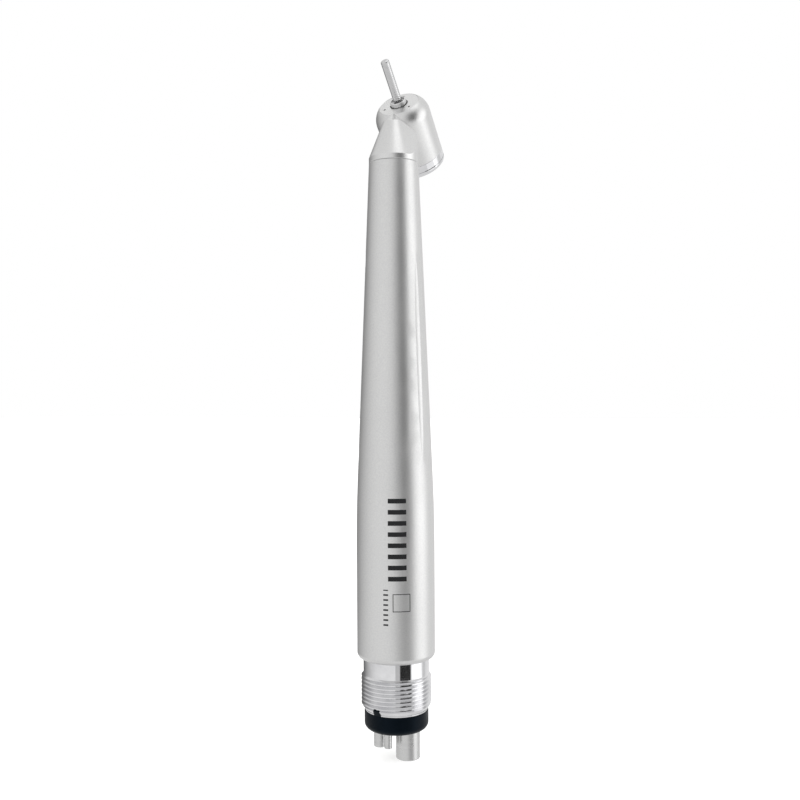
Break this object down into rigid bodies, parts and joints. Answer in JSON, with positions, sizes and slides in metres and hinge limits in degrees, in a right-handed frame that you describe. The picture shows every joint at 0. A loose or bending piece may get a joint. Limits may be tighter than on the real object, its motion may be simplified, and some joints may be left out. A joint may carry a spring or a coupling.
{
  "type": "dental high speed handpiece",
  "caption": "Air-turbine dental handpiece with a 45-degree push-button head, tapered satin handle and a threaded hose connector with gasket and tubes.",
  "frame": {"origin": "centre of the connector gasket's rear sealing face", "axes": "+Z along the handle towards the head; the bur leans towards -Y; X = 0 is the head's plane of symmetry"},
  "size_m": [0.0146, 0.0227, 0.1295],
  "materials": {
    "satin_barrel": "satin, fine bead-blasted and plated",
    "satin_head": "satin, fine bead-blasted and plated",
    "polished_plating": "polished nickel-chrome plating",
    "polished_steel": "ground and polished stainless steel",
    "turned_steel": "fine turned stainless steel",
    "bearing_steel": "ground bearing steel",
    "bearing_ball": "polished silicon nitride ceramic",
    "cage_resin": "moulded phenolic resin",
    "turbine_aluminium": "milled",
    "black_rubber": "moulded, matt",
    "spacer_plastic": "moulded acetal",
    "spring_steel": "drawn wire"
  },
  "bodies": {
    "handpiece": {"barrel_shell": "satin_barrel", "connector_body": "polished_plating", "coupling_gasket": "black_rubber", "exhaust_tube": "turned_steel", "drive_air_tube": "turned_steel", "water_tube": "turned_steel", "chip_air_tube": "turned_steel", "drive_air_line": "turned_steel", "water_line": "turned_steel", "chip_air_line": "turned_steel", "line_spacers": "spacer_plastic", "barrel_seal_ring": "black_rubber", "neck_seal_ring": "black_rubber", "neck_housing": "satin_head", "head_housing": "satin_head", "spray_plate": "satin_head", "back_cap": "polished_plating", "button_spring": "spring_steel", "front_outer_race": "bearing_steel", "front_damper_ring": "black_rubber", "rear_outer_race": "bearing_steel", "rear_damper_ring": "black_rubber", "front_dust_shield": "turned_steel", "preload_washer": "spring_steel", "rear_bearing_seat": "turned_steel"},
    "rotor": {"spindle": "turned_steel", "turbine_impeller": "turbine_aluminium", "front_inner_race": "bearing_steel", "rear_inner_race": "bearing_steel", "chuck_collet": "turned_steel", "chuck_spring": "spring_steel"},
    "front_ball_cage": {"front_bearing_balls": "bearing_ball", "front_bearing_cage": "cage_resin"},
    "rear_ball_cage": {"rear_bearing_balls": "bearing_ball", "rear_bearing_cage": "cage_resin"},
    "chuck_plunger": {"chuck_plunger": "turned_steel"},
    "push_button": {"push_button": "polished_plating"},
    "bur_blank": {"bur_blank": "polished_steel"}
  },
  "joints": [
    {"name": "rotor_spin", "type": "hinge", "parent": "handpiece", "child": "rotor", "pos_m": [0, 0.0025, 0.1171], "axis": [0, -0.7071, 0.7071], "continuous": true},
    {"name": "front_cage_spin", "type": "hinge", "parent": "handpiece", "child": "front_ball_cage", "pos_m": [0, 0.00476, 0.11484], "axis": [0, -0.7071, 0.7071], "continuous": true},
    {"name": "rear_cage_spin", "type": "hinge", "parent": "handpiece", "child": "rear_ball_cage", "pos_m": [0, 0.00921, 0.11039], "axis": [0, -0.7071, 0.7071], "continuous": true},
    {"name": "button_push", "type": "slide", "parent": "handpiece", "child": "push_button", "axis": [0, -0.7071, 0.7071], "range_m": [0, 0.0007], "stiffness_N_per_m": 4000, "springref_m": -0.001, "deforming": ["button_spring"]},
    {"name": "plunger_slide", "type": "slide", "parent": "rotor", "child": "chuck_plunger", "axis": [0, -0.7071, 0.7071], "range_m": [0, 0.0004], "deforming": ["chuck_spring"]},
    {"name": "bur_pull", "type": "slide", "parent": "rotor", "child": "bur_blank", "axis": [0, -0.7071, 0.7071], "range_m": [0, 0.012]}
  ],
  "couplings": [
    {"joint": "front_cage_spin", "follows": "rotor_spin", "ratio": 0.395},
    {"joint": "rear_cage_spin", "follows": "rotor_spin", "ratio": 0.395},
    {"joint": "plunger_slide", "follows": "button_push", "ratio": 0.5714}
  ]
}
